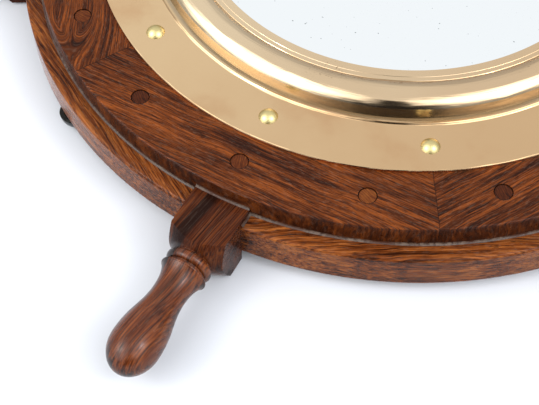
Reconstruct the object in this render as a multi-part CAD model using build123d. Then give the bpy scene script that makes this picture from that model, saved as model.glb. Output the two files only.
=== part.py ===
from build123d import *
import math
import os

# A wall mirror built like a ship's steering wheel: a rosewood wheel of spokes and felloes,
# faced with six segments, with a cast brass porthole ring round a mirror in its middle.
# The wheel lies face up on its three feet. Z is the wheel's axis, the origin is on that
# axis at the level the feet rest on, and one handle points along -Y.

os.makedirs("parts", exist_ok=True)

# ---------------------------------------------------------------- driving dimensions, mm

SPOKES = 6                   # handles round the wheel
FIRST_SPOKE = -90            # direction of spoke 1, degrees
RUNNING_GAP = 0.05           # radial gap of a pin, screw or plug in its hole

# porthole ring, from its clear opening outwards
OPENING_R = 116.0            # clear opening, the mirror that shows
LIP_WIDTH = 4.4              # flat lip round the opening
FILLET_WIDTH = 2.6           # narrow band between the lip and the bead
BEAD_INNER_RUN = 8.5         # from the band to the crest of the bead
BEAD_R = 9.7                 # outer side of the bead
BEAD_TURN = 58               # its arc, degrees from the crest, above a straight wall
STEP_WIDTH = 3.4             # flat step at the foot of the bead
COVE_WIDTH = 2.8             # hollow between that step and the flange
FLANGE_WIDTH = 24.6          # flat flange that lies on the wood
FLANGE_THICK = 2.0
FLANGE_BEVEL = 1.6           # slope worn and polished on the flange's edge
STEP_HEIGHT = 3.2            # step above the wood
LIP_HEIGHT = 10.0            # lip above the wood
GROOVE_DEPTH = 0.25          # lines turned beside the lip
RING_WALL = 3.0              # thickness of the casting

# mirror and what holds it in the ring
GLASS_THICK = 3.0
GASKET_THICK = 0.8
GLASS_CLEARANCE = 1.2        # glass to the ring's inside
RETAINER_LAP = 6.0           # retaining ring under the glass
RETAINER_THICK = 1.6
LUG_R = 4.2                  # bosses cast under the bead
RETAINER_SCREW_R = 1.5
RETAINER_SCREW_LENGTH = 6.0

# pins through the flange
PINS_PER_SPOKE = 2
PIN_INSET = 14.6             # pin circle inside the flange's edge
PIN_HEAD_R = 4.9
PIN_HEAD_HEIGHT = 2.9
PIN_SHANK_R = 1.6
PIN_LENGTH = 20.0

# wooden wheel
FLANGE_SEAT = 24.0           # width of wood under the flange
FACING_MARGIN = 32.3         # facing that shows outside the flange
FACING_THICK = 12.8
FACING_ROUND = 1.0           # rounded top edge
FELLOE_MARGIN = 9.7          # felloe that shows outside the facing
FELLOE_THICK = 21.6
FELLOE_ROUND = 1.8
JOINT_GAP = 0.3              # facing's wall to the spoke's square block

# plugs and the screws under them
SCREWS_PER_SPOKE = 3
PLUG_INSET = 17.4            # plug circle inside the facing's edge
PLUG_R = 4.75
PLUG_DEPTH = 6.0
PLUG_SINK = 0.25             # plug trimmed and sanded just below the face
SCREW_HEAD_R = 4.2
SCREW_HEAD_HEIGHT = 2.4
SCREW_SHANK_R = 2.1
SCREW_BITE = 15.0            # screw below the facing
SLOT_WIDTH = 1.0             # driver slots of the countersunk screws
SLOT_DEPTH = 0.7

# spokes
BLOCK_WIDTH = 30.0
BLOCK_DEPTH = 31.6
BLOCK_STAND = 3.7            # block above the felloes
BLOCK_REACH = 18.3           # flat of the block beyond the felloes
HANDLE_LENGTH = 70.4         # turned handle beyond that flat
HANDLE_RISE = 1.8            # handle's middle line above the block's
SHOULDER_LENGTH = 3.2        # turned end of the block
SHOULDER_RUN = 0.78          # length of its round for each mm that the corners stand out
HANDLE_BEAD_R = 12.1
HANDLE_BEAD_WIDTH = 5.6
QUIRK_R = 10.0               # narrow groove beside the bead
QUIRK_WIDTH = 1.6
COLLAR_R = 12.2
COLLAR_WIDTH = 1.4
NECK_R = 8.6
NECK_LENGTH = 13.0           # collar to the thinnest place
GRIP_R = 12.7
GRIP_END_LENGTH = 16.3       # widest place to the tip
ARRIS = 0.5                  # sharp turned edges are eased by this much

# feet, back and hanger
REST_CLEARANCE = 1.7         # least gap under everything but the feet
FOOT_R = 8.7
FOOT_FLAT_R = 3.2            # where the dome is pressed flat
FOOT_INSET = 6.0             # foot's middle inside the felloe's edge
FEET = 3
FIRST_FOOT = -121            # direction of foot 1, degrees
BOARD_LAP = 20.0             # backing board over the wood
BOARD_THICK = 3.2
BOARD_SCREWS_PER_SPOKE = 2
BOARD_SCREW_INSET = 9.0
BOARD_SCREW_R = 1.6
BOARD_SCREW_LENGTH = 16.0
HANGER_DIRECTION = 60        # middle of a felloe, degrees
STRAP_GAP = 4.0              # strap's end to the backing board
STRAP_THICK = 1.2
STRAP_WIDTH = 12.0
STRAP_LENGTH = 24.0
WIRE_R = 1.5
LOOP_R = 9.0                 # wire's middle line round the loop
LOOP_LEG = 5.0
HANGER_SCREW_R = 1.75
HANGER_SCREW_PLACES = (0.40, 0.80)   # shares of the strap, from the pivot
HANGER_SCREW_LENGTH = 16.0
HANGER_HEAD_R = 3.3

# ---------------------------------------------------------------- places worked out from them

BAND_R = OPENING_R + LIP_WIDTH                   # line between lip and band
BEAD_IN_R = BAND_R + FILLET_WIDTH                # line between band and bead
CREST_R = BEAD_IN_R + BEAD_INNER_RUN
BEAD_OUT_R = CREST_R + BEAD_R
STEP_R = BEAD_OUT_R + STEP_WIDTH
COVE_R = STEP_R + COVE_WIDTH
RING_R = COVE_R + FLANGE_WIDTH                   # outer edge of the brass
WOOD_IN_R = RING_R - FLANGE_SEAT
FACING_R = RING_R + FACING_MARGIN
FELLOE_R = FACING_R + FELLOE_MARGIN
BLOCK_R = FELLOE_R + BLOCK_REACH
TIP_R = BLOCK_R + HANDLE_LENGTH
PIN_CIRCLE_R = RING_R - PIN_INSET
PLUG_CIRCLE_R = FACING_R - PLUG_INSET

EYE_R = WIRE_R + RUNNING_GAP + STRAP_THICK       # outside of the hanger strap's eye
PAN_HEAD_WIDE = 1.9                              # pan head's radius for a shank of radius 1
PAN_HEAD_HIGH = 1.1                              # and its height
BELOW_FELLOES = (BLOCK_DEPTH - BLOCK_STAND - FELLOE_THICK,
                 BOARD_THICK + BOARD_SCREW_R * PAN_HEAD_HIGH, 2 * EYE_R)
FOOT_HEIGHT = REST_CLEARANCE + max(BELOW_FELLOES)

Z_BACK = FOOT_HEIGHT                             # back of the felloes
Z_JOINT = Z_BACK + FELLOE_THICK                  # felloes meet the facing
Z_FACE = Z_JOINT + FACING_THICK                  # front of the facing
Z_BLOCK_TOP = Z_JOINT + BLOCK_STAND
Z_BLOCK = Z_BLOCK_TOP - BLOCK_DEPTH / 2          # middle of the square blocks
Z_AXIS = Z_BLOCK + HANDLE_RISE                   # middle line of the handles

LIP_UNDER = Z_FACE + LIP_HEIGHT - RING_WALL      # the gasket lies against this
Z_GLASS_TOP = LIP_UNDER - GASKET_THICK
Z_GLASS_BACK = Z_GLASS_TOP - GLASS_THICK
HOLLOW_IN_R = BEAD_IN_R + RING_WALL / 2
HOLLOW_OUT_R = BEAD_OUT_R - RING_WALL
GLASS_R = HOLLOW_IN_R - GLASS_CLEARANCE
PITCH = 360 / SPOKES


def around(radius, degrees, z=0.0):
    """Point at a radius and direction about the wheel's axis."""
    angle = math.radians(degrees)
    return Vector(radius * math.cos(angle), radius * math.sin(angle), z)


def directions(per_spoke, first=FIRST_SPOKE):
    """Directions evenly spaced round the wheel, so many for each spoke."""
    count = SPOKES * per_spoke
    return [first + 360 * i / count for i in range(count)]


def post(radius, z_low, z_high, at):
    """Upright cylinder between two heights."""
    return Pos(at.X, at.Y, (z_low + z_high) / 2) * Cylinder(radius, z_high - z_low)


def turned(points):
    """Solid of revolution about Z from a closed outline of (radius, height) points."""
    outline = Polyline(*[(r, 0, z) for r, z in points], close=True)
    return revolve(make_face(outline), Axis.Z)


def sector(r_in, r_out, z_low, z_high, start, span, edge_round, round_back):
    """Piece of a flat ring with rounded outer edges, cut square to the wheel's face."""
    middle = ((r_in + r_out) / 2, (z_low + z_high) / 2)
    face = Pos(middle[0], middle[1]) * Rectangle(r_out - r_in, z_high - z_low)
    corners = [v for v in face.vertices() if v.X > middle[0]]
    if not round_back:
        corners = [v for v in corners if v.Y > middle[1]]
    face = fillet(corners, edge_round)
    upright = Plane.XZ * face
    return Rot(0, 0, start) * revolve(upright, Axis.Z, revolution_arc=span)


def single(shape):
    """The one solid in a shape."""
    solids = shape.solids()
    assert len(solids) == 1, f"{len(solids)} solids where one is meant"
    return solids[0]


def save(node, *solids):
    export_step(Compound(children=[single(s) for s in solids]), f"parts/{node}.step")


# ---------------------------------------------------------------- wheel: facing, felloes, spokes

SCREW_TOP = Z_FACE - PLUG_DEPTH
SCREW_SEAT = SCREW_TOP - SCREW_HEAD_HEIGHT
SCREW_END = Z_JOINT - SCREW_BITE
PIN_SEAT = Z_FACE + FLANGE_THICK
SCREW_PLACES = [around(PLUG_CIRCLE_R, d) for d in directions(SCREWS_PER_SPOKE)]
PIN_PLACES = [around(PIN_CIRCLE_R, d) for d in directions(PINS_PER_SPOKE)]
BOARD_SCREW_DIRECTIONS = directions(BOARD_SCREWS_PER_SPOKE, FIRST_SPOKE + PITCH / 4)
BOARD_R = WOOD_IN_R + BOARD_LAP
BOARD_SCREW_PLACES = [around(BOARD_R - BOARD_SCREW_INSET, d) for d in BOARD_SCREW_DIRECTIONS]


def fastener_holes():
    """Every hole in the wood from its face and back, as one list of cylinders."""
    holes = []
    for at in SCREW_PLACES:
        holes.append(post(PLUG_R + RUNNING_GAP, SCREW_SEAT, Z_FACE + 1, at))
        holes.append(post(SCREW_SHANK_R + RUNNING_GAP, SCREW_END, SCREW_SEAT + 1, at))
    for at in PIN_PLACES:
        holes.append(post(PIN_SHANK_R + RUNNING_GAP, PIN_SEAT - PIN_LENGTH, Z_FACE + 1, at))
    for at in BOARD_SCREW_PLACES:
        top = Z_BACK - BOARD_THICK + BOARD_SCREW_LENGTH
        holes.append(post(BOARD_SCREW_R + RUNNING_GAP, Z_BACK - 1, top, at))
    return holes


HOLES = fastener_holes()


def facing_segment(number):
    """One sixth of the front ring, its middle over a spoke and its ends between two."""
    start = FIRST_SPOKE + PITCH * (number - 1) - PITCH / 2
    piece = sector(WOOD_IN_R, FACING_R, Z_JOINT, Z_FACE, start, PITCH, FACING_ROUND, False)
    return piece - HOLES


def spoke_slot(number):
    """Space that a spoke's flat tongue takes between two felloes."""
    length = FELLOE_R - WOOD_IN_R + 20
    slot = Box(length, BLOCK_WIDTH, FELLOE_THICK + 2)
    middle = WOOD_IN_R - 10 + length / 2
    turn = FIRST_SPOKE + PITCH * (number - 1)
    return Rot(0, 0, turn) * Pos(middle, 0, (Z_BACK + Z_JOINT) / 2) * slot


def felloe(number):
    """Part of the middle ring between one spoke and the next."""
    start = FIRST_SPOKE + PITCH * (number - 1)
    piece = sector(WOOD_IN_R, FELLOE_R, Z_BACK, Z_JOINT, start, PITCH, FELLOE_ROUND, True)
    return piece - [spoke_slot(number), spoke_slot(number + 1)] - HOLES - HANGER_HOLES


def handle_profile():
    """Half outline of the turned end, as distance from the wheel's axis and radius."""
    bead_from = BLOCK_R + SHOULDER_LENGTH
    bead_to = bead_from + HANDLE_BEAD_WIDTH
    collar_from = bead_to + QUIRK_WIDTH
    collar_to = collar_from + COLLAR_WIDTH
    neck = collar_to + NECK_LENGTH
    widest = TIP_R - GRIP_END_LENGTH
    root_r = QUIRK_R + ARRIS                     # bead's foot on the shoulder side
    edge_r = COLLAR_R - ARRIS
    start = (BLOCK_R - BLOCK_REACH / 2, 0)
    inner = (start[0], root_r)
    with BuildLine() as outline:
        Polyline(start, inner, (bead_from, root_r))
        bead_top = ((bead_from + bead_to) / 2, HANDLE_BEAD_R)
        ThreePointArc((bead_from, root_r), bead_top, (bead_to, QUIRK_R))
        Polyline((bead_to, QUIRK_R), (collar_from, QUIRK_R), (collar_from, edge_r))
        rim = ((collar_from + collar_to) / 2, COLLAR_R)
        ThreePointArc((collar_from, edge_r), rim, (collar_to, edge_r))
        Spline((collar_to, edge_r), (neck, NECK_R), (widest, GRIP_R),
               tangents=[(1, -0.75), (1, 0), (1, 0)])
        EllipticalCenterArc((widest, 0), GRIP_END_LENGTH, GRIP_R, arc_size=90)
        Line((TIP_R, 0), start)
    return make_face(outline.line)


def shoulder_profile():
    """Half outline that turns the square block's end: full to its corners, then round."""
    corner_r = math.hypot(BLOCK_WIDTH / 2, BLOCK_DEPTH / 2 + HANDLE_RISE) + ARRIS
    flat_r = BLOCK_DEPTH / 2 - HANDLE_RISE
    end = BLOCK_R + SHOULDER_LENGTH
    full = BLOCK_R - (corner_r - flat_r) * SHOULDER_RUN
    with BuildLine() as outline:
        Polyline((end, QUIRK_R), (end, 0), (0, 0), (0, corner_r), (full, corner_r))
        ThreePointArc((full, corner_r), (BLOCK_R, flat_r + 0.2), (end, QUIRK_R))
    return make_face(outline.line)


def spoke(number):
    """A square spoke: a tongue between the felloes, a block outside, a turned handle."""
    reach = BLOCK_R + SHOULDER_LENGTH
    tongue_end = FELLOE_R + JOINT_GAP
    tongue = Pos((WOOD_IN_R + tongue_end) / 2, 0, (Z_BACK + Z_JOINT) / 2) * Box(
        tongue_end - WOOD_IN_R, BLOCK_WIDTH, FELLOE_THICK)
    tongue = tongue - post(WOOD_IN_R, Z_BACK - 1, Z_JOINT + 1, Vector(0, 0, 0))
    block_from = FACING_R - BLOCK_WIDTH / 2
    block = Pos((block_from + reach) / 2, 0, Z_BLOCK) * Box(
        reach - block_from, BLOCK_WIDTH, BLOCK_DEPTH)
    shoulder = Pos(0, 0, Z_AXIS) * revolve(shoulder_profile(), Axis.X)
    block = block & shoulder
    above = post(FACING_R + JOINT_GAP, Z_JOINT, Z_FACE, Vector(0, 0, 0))
    below = post(FELLOE_R, 0, Z_BACK, Vector(0, 0, 0))
    block = block - [above, below]
    handle = Pos(0, 0, Z_AXIS) * revolve(handle_profile(), Axis.X)
    turn = FIRST_SPOKE + PITCH * (number - 1)
    return Rot(0, 0, turn) * (tongue + block + handle) - HOLES


# ---------------------------------------------------------------- hanger on the back

PIVOT_R = BOARD_R + STRAP_GAP + STRAP_LENGTH
Z_PIVOT = Z_BACK - EYE_R
HANGER_FRAME = Rot(0, 0, HANGER_DIRECTION)       # its X runs outwards, its Y along the pivot
HANGER_SCREW_RADII = [PIVOT_R - STRAP_LENGTH * share for share in HANGER_SCREW_PLACES]
HANGER_HEAD_HEIGHT = HANGER_HEAD_R - HANGER_SCREW_R


def hanger_screw(radius, gap=0.0):
    """Countersunk screw from the back, flush with the strap; gap makes its hole."""
    low = Z_BACK - STRAP_THICK
    head = turned([(0, low), (HANGER_HEAD_R + gap, low),
                   (HANGER_SCREW_R + gap, low + HANGER_HEAD_HEIGHT + gap),
                   (0, low + HANGER_HEAD_HEIGHT + gap)])
    shank = Pos(0, 0, low + HANGER_SCREW_LENGTH / 2) * Cylinder(
        HANGER_SCREW_R + gap, HANGER_SCREW_LENGTH)
    slot = Pos(0, 0, low) * Box(2 * HANGER_HEAD_R, SLOT_WIDTH, 2 * SLOT_DEPTH)
    screw = head + shank
    if gap == 0.0:
        screw = screw - slot
    return HANGER_FRAME * Pos(radius, 0, 0) * screw


HANGER_HOLES = [hanger_screw(r, RUNNING_GAP) for r in HANGER_SCREW_RADII]


def hanger_strap():
    """Steel strap screwed to the felloe, its end curled round the ring's straight bar."""
    inner = PIVOT_R - STRAP_LENGTH
    plate = Pos((inner + PIVOT_R) / 2, 0, Z_BACK - STRAP_THICK / 2) * Box(
        STRAP_LENGTH, STRAP_WIDTH, STRAP_THICK)
    eye = Pos(PIVOT_R, 0, Z_PIVOT) * Rot(90, 0, 0) * (
        Cylinder(EYE_R, STRAP_WIDTH) - Cylinder(WIRE_R + RUNNING_GAP, STRAP_WIDTH + 2))
    mouth = Pos(PIVOT_R - EYE_R, 0, Z_PIVOT) * Box(2 * EYE_R, STRAP_WIDTH + 2, STRAP_THICK)
    strap = HANGER_FRAME * (plate + (eye - mouth))
    return strap - HANGER_HOLES


def hanger_ring():
    """Wire ring with a straight bar through the strap's eye and a round loop outside it."""
    bar = Rot(90, 0, 0) * Cylinder(WIRE_R, 2 * LOOP_R)
    leg = Pos(LOOP_LEG / 2, 0, 0) * Rot(0, 90, 0) * Cylinder(WIRE_R, LOOP_LEG)
    loop = Torus(LOOP_R, WIRE_R)
    outer_half = Pos(LOOP_R + WIRE_R, 0, 0) * Box(2 * (LOOP_R + WIRE_R), 4 * LOOP_R, 4 * WIRE_R)
    ring = bar + Pos(LOOP_LEG, 0, 0) * (loop & outer_half)
    for side in (-LOOP_R, LOOP_R):
        ring = ring + Pos(0, side, 0) * leg + Pos(0, side, 0) * Sphere(WIRE_R)
    return HANGER_FRAME * Pos(PIVOT_R, 0, Z_PIVOT) * ring


# ---------------------------------------------------------------- porthole ring and mirror

LUG_PLACES = [around(CREST_R, d) for d in directions(1, FIRST_SPOKE + PITCH / 2)]
LUG_ROOT = Z_FACE + STEP_HEIGHT + BEAD_R - RING_WALL / 2


def ring_profile():
    """Section of the casting: lip, band, half-round bead, step, cove and flat flange."""
    lip = Z_FACE + LIP_HEIGHT
    step = Z_FACE + STEP_HEIGHT
    flange = Z_FACE + FLANGE_THICK
    g = GROOVE_DEPTH
    slope = 1 / math.sqrt(2)
    turn = math.radians(BEAD_TURN)
    wall_top = (CREST_R + BEAD_R * math.sin(turn), step + BEAD_R * math.cos(turn))
    with BuildLine(Plane.XZ) as outline:
        Polyline((OPENING_R, LIP_UNDER), (OPENING_R, lip - g), (OPENING_R + g, lip),
                 (BAND_R - g, lip), (BAND_R, lip - g), (BAND_R + g, lip),
                 (BEAD_IN_R - g, lip), (BEAD_IN_R, lip - g), (BEAD_IN_R + g, lip))
        JernArc((CREST_R, step + BEAD_R), (1, 0), BEAD_R, -BEAD_TURN)
        chord = Vector(CREST_R - BEAD_IN_R - g, step + BEAD_R - lip)
        rise_r = chord.length ** 2 / (2 * chord.Y)
        rise_turn = 2 * math.degrees(math.atan2(chord.Y, chord.X))
        JernArc((CREST_R, step + BEAD_R), (-1, 0), rise_r, rise_turn)
        cove_rise = (step - flange) * 2 / 3
        Polyline(wall_top, (BEAD_OUT_R, step), (STEP_R, step), (STEP_R, flange + cove_rise))
        cove_middle = (STEP_R + COVE_WIDTH * (1 - slope), flange + cove_rise * (1 - slope))
        ThreePointArc((STEP_R, flange + cove_rise), cove_middle, (COVE_R, flange))
        Polyline((COVE_R, flange), (RING_R - FLANGE_BEVEL, flange), (RING_R - ARRIS, flange - ARRIS),
                 (RING_R, flange - 2 * ARRIS), (RING_R, Z_FACE), (HOLLOW_OUT_R, Z_FACE),
                 (HOLLOW_OUT_R, step))
        JernArc((HOLLOW_OUT_R, step), (0, 1), BEAD_R - RING_WALL, 90)
        Polyline((CREST_R, step + BEAD_R - RING_WALL), (HOLLOW_IN_R, LIP_UNDER), (OPENING_R, LIP_UNDER))
    return make_face(outline.line)


def porthole_ring():
    """Cast brass ring with a boss under the bead for each retaining screw."""
    ring = revolve(ring_profile(), Axis.Z)
    for at in LUG_PLACES:
        ring = ring + post(LUG_R, Z_GLASS_BACK, LUG_ROOT, at)
    drilled = [post(PIN_SHANK_R + RUNNING_GAP, Z_FACE - 1, PIN_SEAT + 1, at) for at in PIN_PLACES]
    tapped = [post(RETAINER_SCREW_R + RUNNING_GAP, Z_GLASS_BACK - 1, LUG_ROOT - RING_WALL / 2, at)
              for at in LUG_PLACES]
    return ring - drilled - tapped


def disc(r_in, r_out, z_low, z_high):
    """Flat ring, or a full disc where the inner radius is 0."""
    plate = post(r_out, z_low, z_high, Vector(0, 0, 0))
    if r_in > 0:
        plate = plate - post(r_in, z_low - 1, z_high + 1, Vector(0, 0, 0))
    return plate


def dome(radius, height):
    """Cap of a sphere standing on Z = 0."""
    ball_r = (radius ** 2 + height ** 2) / (2 * height)
    return Pos(0, 0, height - ball_r) * Sphere(ball_r) & post(radius, 0, height, Vector(0, 0, 0))


def ring_pin(at):
    """Domed brass pin driven through the flange."""
    head = Pos(at.X, at.Y, PIN_SEAT) * dome(PIN_HEAD_R, PIN_HEAD_HEIGHT)
    return head + post(PIN_SHANK_R, PIN_SEAT - PIN_LENGTH, PIN_SEAT, at)


def pan_screw(at, z_seat, shank_r, length):
    """Screw driven upwards, its low round head under the seat, with a slot."""
    head_r = PAN_HEAD_WIDE * shank_r
    head_height = PAN_HEAD_HIGH * shank_r
    head = Pos(at.X, at.Y, z_seat) * Rot(180, 0, 0) * dome(head_r, head_height)
    slot = Pos(at.X, at.Y, z_seat - head_height) * Box(2 * head_r, shank_r / 2, head_height)
    return head + post(shank_r, z_seat, z_seat + length, at) - slot


def facing_screw(at):
    """Countersunk wood screw under a plug, down into the felloe or the spoke."""
    head = turned([(0, SCREW_TOP), (SCREW_HEAD_R, SCREW_TOP), (SCREW_HEAD_R, SCREW_TOP - ARRIS),
                   (SCREW_SHANK_R, SCREW_SEAT), (0, SCREW_SEAT)])
    shank = post(SCREW_SHANK_R, SCREW_END, SCREW_SEAT, Vector(0, 0, 0))
    slot = Pos(0, 0, SCREW_TOP) * Box(2 * SCREW_HEAD_R + 1, SLOT_WIDTH, 2 * SLOT_DEPTH)
    return Pos(at.X, at.Y) * (head + shank - slot)


def foot(number):
    """Domed rubber foot stuck under a felloe, its tip pressed flat."""
    with BuildLine(Plane.XZ) as outline:
        Polyline((FOOT_FLAT_R, 0), (0, 0), (0, FOOT_HEIGHT), (FOOT_R, FOOT_HEIGHT))
        EllipticalCenterArc((FOOT_FLAT_R, FOOT_HEIGHT), FOOT_R - FOOT_FLAT_R, FOOT_HEIGHT,
                            start_angle=-90, arc_size=90)
    at = around(FELLOE_R - FOOT_INSET, FIRST_FOOT + 360 / FEET * (number - 1))
    return Pos(at.X, at.Y) * revolve(make_face(outline.line), Axis.Z)


def retaining_ring():
    """Flat brass ring screwed to the bosses, which holds the glass in the casting."""
    ring = disc(GLASS_R - RETAINER_LAP, HOLLOW_OUT_R - GLASS_CLEARANCE / 2,
                Z_GLASS_BACK - RETAINER_THICK, Z_GLASS_BACK)
    hole_r = RETAINER_SCREW_R + RUNNING_GAP
    return ring - [post(hole_r, 0, Z_FACE + LIP_HEIGHT, at) for at in LUG_PLACES]


def backing_board():
    """Hardboard disc that closes the back of the wheel behind the mirror."""
    board = disc(0, BOARD_R, Z_BACK - BOARD_THICK, Z_BACK)
    return board - [post(BOARD_SCREW_R + RUNNING_GAP, 0, Z_FACE, at) for at in BOARD_SCREW_PLACES]


# ---------------------------------------------------------------- one file for each node

for i in range(1, SPOKES + 1):
    save(f"facing_segment_{i}", facing_segment(i))
    save(f"felloe_{i}", felloe(i))
    save(f"spoke_handle_{i}", spoke(i))
for i in range(1, FEET + 1):
    save(f"foot_{i}", foot(i))

save("porthole_ring", porthole_ring())
save("ring_pins", *[ring_pin(at) for at in PIN_PLACES])
save("mirror_gasket", disc(OPENING_R + GLASS_CLEARANCE, GLASS_R, Z_GLASS_TOP, LIP_UNDER))
save("mirror_glass", disc(0, GLASS_R, Z_GLASS_BACK, Z_GLASS_TOP))
save("retaining_ring", retaining_ring())
save("retaining_screws", *[pan_screw(at, Z_GLASS_BACK - RETAINER_THICK, RETAINER_SCREW_R,
                                     RETAINER_SCREW_LENGTH) for at in LUG_PLACES])
save("facing_screws", *[facing_screw(at) for at in SCREW_PLACES])
save("facing_plugs", *[post(PLUG_R, SCREW_TOP, Z_FACE - PLUG_SINK, at) for at in SCREW_PLACES])
save("backing_board", backing_board())
save("backing_screws", *[pan_screw(at, Z_BACK - BOARD_THICK, BOARD_SCREW_R, BOARD_SCREW_LENGTH)
                         for at in BOARD_SCREW_PLACES])
save("hanger_strap", hanger_strap())
save("hanger_screws", *[hanger_screw(r) for r in HANGER_SCREW_RADII])
save("hanger_ring", hanger_ring())
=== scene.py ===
# %% [markdown]
# # A ship's-wheel mirror in rosewood and brass
# The shapes come from a CAD frame: every wooden segment, spoke, pin and screw is already there,
# at its real size in metres. This file gives each of them the finish of its real material, and
# makes again the few pieces whose polish needs a finer surface. The frame is loaded first,
# because every place below is read from it.

# %% Load the frame
import bpy
import math
import numpy as np
from mathutils import Matrix, Vector


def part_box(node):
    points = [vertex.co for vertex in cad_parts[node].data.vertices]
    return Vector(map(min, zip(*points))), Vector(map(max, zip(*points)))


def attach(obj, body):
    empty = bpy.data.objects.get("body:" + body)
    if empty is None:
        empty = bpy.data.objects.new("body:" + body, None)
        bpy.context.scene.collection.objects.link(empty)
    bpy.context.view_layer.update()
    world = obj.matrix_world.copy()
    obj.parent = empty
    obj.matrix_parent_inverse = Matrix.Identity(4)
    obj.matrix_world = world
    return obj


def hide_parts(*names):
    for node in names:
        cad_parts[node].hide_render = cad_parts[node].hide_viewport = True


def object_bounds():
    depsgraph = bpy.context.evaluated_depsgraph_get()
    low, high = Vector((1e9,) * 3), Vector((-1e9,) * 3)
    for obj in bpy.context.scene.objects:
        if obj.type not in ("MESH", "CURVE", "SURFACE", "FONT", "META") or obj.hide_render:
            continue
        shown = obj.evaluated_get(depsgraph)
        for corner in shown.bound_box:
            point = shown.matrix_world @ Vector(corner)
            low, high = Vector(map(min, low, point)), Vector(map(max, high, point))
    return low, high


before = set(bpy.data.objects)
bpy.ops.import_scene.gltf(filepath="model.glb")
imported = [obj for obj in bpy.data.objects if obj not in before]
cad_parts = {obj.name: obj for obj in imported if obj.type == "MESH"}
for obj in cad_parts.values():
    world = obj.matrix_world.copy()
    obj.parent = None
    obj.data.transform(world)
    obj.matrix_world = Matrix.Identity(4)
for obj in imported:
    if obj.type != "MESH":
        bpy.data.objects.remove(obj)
cad_box = [list(corner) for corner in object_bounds()]
print("CAD box:", [[round(v, 4) for v in corner] for corner in cad_box])

# %% [markdown]
# ## Where things are
# A few levels and radii are used again and again. Reading them from the frame, rather than
# typing them, keeps the looks in step with the CAD if a size is ever changed there.

# %% Levels and radii, in metres
MM = 0.001
SPOKES = 6
FIRST_SPOKE = -90.0          # degrees from +X
PITCH = 360.0 / SPOKES


def outer_radius(node):
    """Half the width of a round node, along X."""
    low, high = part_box(node)
    return (high[0] - low[0]) / 2


face_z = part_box("facing_segment_1")[1][2]
joint_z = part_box("facing_segment_1")[0][2]
ring_r = outer_radius("porthole_ring")
ring_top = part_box("porthole_ring")[1][2]
facing_r = -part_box("facing_segment_1")[0][1]
plug_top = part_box("facing_plugs")[1][2]
plug_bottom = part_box("facing_plugs")[0][2]
spoke_low, spoke_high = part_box("spoke_handle_1")
block_half = (spoke_high[0] - spoke_low[0]) / 2
tip_r = -spoke_low[1]
print(f"face {face_z:.4f}  joint {joint_z:.4f}  facing r {facing_r:.4f}  tip r {tip_r:.4f}")

# %% [markdown]
# ## Camera
# The view is from above and a little to the right of one handle, through a lens long enough
# that circles stay nearly round. Instead of typing angles, we place the eye and the point it
# looks at, and build the rotation from them. The small roll is that of a tripod set by eye.

# %% Make the camera
EYE = Vector((0.1821, -0.4795, face_z + 0.4801))
AIM = Vector((0.0245, -0.2012, face_z))
ROLL = math.radians(-1.15)
LENS_MM = 81.0
SENSOR_MM = 36.0
camera_data = bpy.data.cameras.new("camera")
camera_data.sensor_width = SENSOR_MM
camera_data.lens = LENS_MM
camera_data.clip_start = 0.01
camera = bpy.data.objects.new("camera", camera_data)
look = (AIM - EYE).to_track_quat("-Z", "Y").to_matrix().to_4x4()
camera.matrix_world = Matrix.Translation(EYE) @ look @ Matrix.Rotation(ROLL, 4, "Z")
bpy.context.collection.objects.link(camera)
bpy.context.scene.camera = camera
bpy.context.scene.view_settings.view_transform = "Standard"
print("camera distance", round((EYE - AIM).length, 3))

# %% [markdown]
# ## Colours and nodes
# Colours are written as sRGB hex, as a paint chip or a screen gives them. Shaders work in linear
# light, so one function does the conversion. One more adds a node of any kind, and returns the
# socket that the next node will want, so that a material reads as one step after another.


# %% Colours, nodes and materials
def linear(hex_colour):
    """sRGB hex to linear RGBA: divide by 12.92 near black, else ((c + 0.055) / 1.055) ** 2.4."""
    raw = hex_colour.lstrip("#")
    c = np.array([int(raw[i:i + 2], 16) for i in (0, 2, 4)]) / 255
    c = np.where(c <= 0.04045, c / 12.92, ((c + 0.055) / 1.055) ** 2.4)
    return (*[float(v) for v in c], 1.0)


def add(tree, kind, *values, out=None, **named):
    """Adds a node and returns its first output in use, or the output that `out` names.

    Values fill its inputs in order. A named value is a property of the node, or else the input
    of that name, with _ for a space. A socket is linked, and anything else is set.
    """
    made = tree.nodes.new("ShaderNode" + kind)
    inputs = dict(enumerate(values))
    for name, value in named.items():
        if hasattr(made, name):
            setattr(made, name, value)
        else:
            inputs[name.replace("_", " ")] = value
    for key, value in inputs.items():
        if isinstance(value, bpy.types.NodeSocket):
            tree.links.new(value, made.inputs[key])
        else:
            made.inputs[key].default_value = value
    return made.outputs[out] if out else next((s for s in made.outputs if s.enabled), None)


def new_material(name, **constants):
    """Empty node material with a Principled shader on the output, and its constant inputs."""
    made = bpy.data.materials.new(name)
    made.use_nodes = True
    tree = made.node_tree
    tree.nodes.clear()
    shader = add(tree, "BsdfPrincipled", **constants)
    add(tree, "OutputMaterial", shader)
    return made, tree, shader.node


def connect(tree, shader, colour, roughness, height=None, strength=0.0, depth=0.1 * MM):
    """Links a colour and a roughness to the shader, and a height as relief of a real depth."""
    tree.links.new(colour, shader.inputs["Base Color"])
    tree.links.new(roughness, shader.inputs["Roughness"])
    if height is not None:
        relief = add(tree, "Bump", Height=height, Strength=strength, Distance=depth)
        tree.links.new(relief, shader.inputs["Normal"])


def finish_node(node, material):
    """Puts one material on a CAD node."""
    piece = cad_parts[node]
    piece.data.materials.clear()
    piece.data.materials.append(material)


print("node helpers ready")

# %% [markdown]
# Nearly every mark on a surface starts as a smooth number, a noise or a distance, that is cut
# into a soft mask: nothing below one value, everything past another. That step has a name here,
# and it may run either way, so that a line is "full near zero, none further out".


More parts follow.
